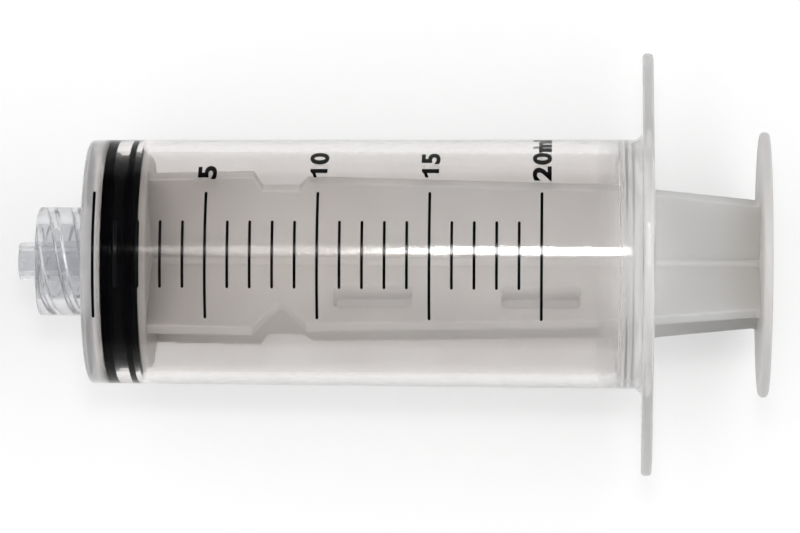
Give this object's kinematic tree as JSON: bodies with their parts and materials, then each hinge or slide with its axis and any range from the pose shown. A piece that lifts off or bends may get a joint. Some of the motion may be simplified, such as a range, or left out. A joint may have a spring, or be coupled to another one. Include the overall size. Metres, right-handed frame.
{
  "type": "luer lock syringe",
  "caption": "Clear plastic syringe with a threaded nozzle collar, printed volume scale, oval finger flange, black rubber stopper and ribbed plunger with a round thumb rest.",
  "frame": {"origin": "centre of the nozzle's end, where the passage opens", "axes": "+X along the axis from the nozzle to the thumb rest, Y along the flange's long way, +Z out of the printed scale"},
  "size_m": [0.0793, 0.0448, 0.029],
  "materials": {
    "clear_barrel_plastic": "clear moulded polypropylene, glossy",
    "milky_plunger_plastic": "milky moulded polypropylene, satin",
    "black_rubber": "smooth black rubber, lightly lubricated",
    "printed_ink": "black printed ink"
  },
  "bodies": {
    "barrel": {"barrel": "clear_barrel_plastic", "graduation_marks": "printed_ink"},
    "stopper": {"stopper": "black_rubber"},
    "plunger": {"plunger": "milky_plunger_plastic"}
  },
  "joints": [
    {"name": "stopper_slide", "type": "slide", "parent": "barrel", "child": "stopper", "axis": [1, 0, 0], "range_m": [-0.0006, 0.0505]},
    {"name": "plunger_turn", "type": "hinge", "parent": "stopper", "child": "plunger", "pos_m": [0.0142, 0, 0], "axis": [1, 0, 0], "continuous": true}
  ]
}
